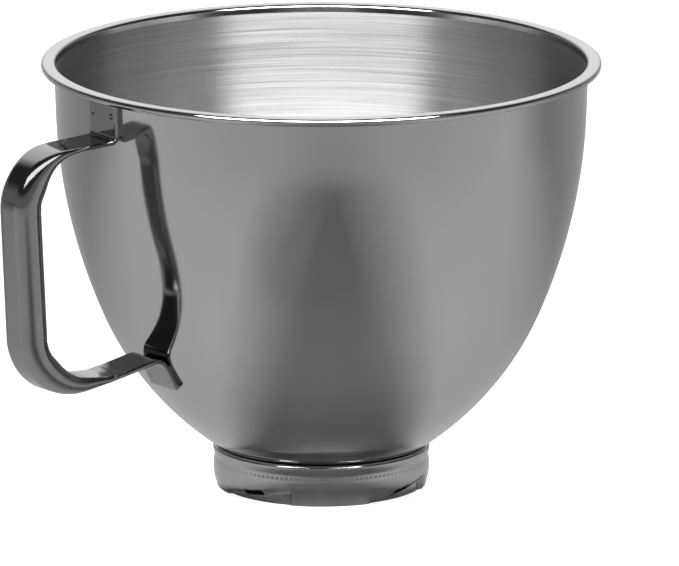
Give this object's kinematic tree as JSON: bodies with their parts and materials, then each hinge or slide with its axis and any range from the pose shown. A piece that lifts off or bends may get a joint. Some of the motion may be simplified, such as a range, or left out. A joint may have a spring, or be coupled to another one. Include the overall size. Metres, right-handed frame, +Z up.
{
  "type": "stand mixer bowl",
  "caption": "Deep round stainless steel mixing bowl with a curled rim, a hollow side handle pressed from tube, and a short twist-lock foot ring with ramped recesses.",
  "frame": {"origin": "on the bowl's axis at the bottom edge of the foot ring, where it stands", "axes": "+Z up along the bowl's axis to its open mouth, -X towards the handle, Y across"},
  "size_m": [0.2779, 0.2336, 0.181],
  "materials": {
    "bowl_steel": "polished outside and on the rim, satin brushed round the inside",
    "foot_steel": "polished",
    "handle_steel": "polished"
  },
  "bodies": {
    "root": {"bowl": "bowl_steel", "foot_ring": "foot_steel", "handle": "handle_steel"}
  },
  "joints": []
}
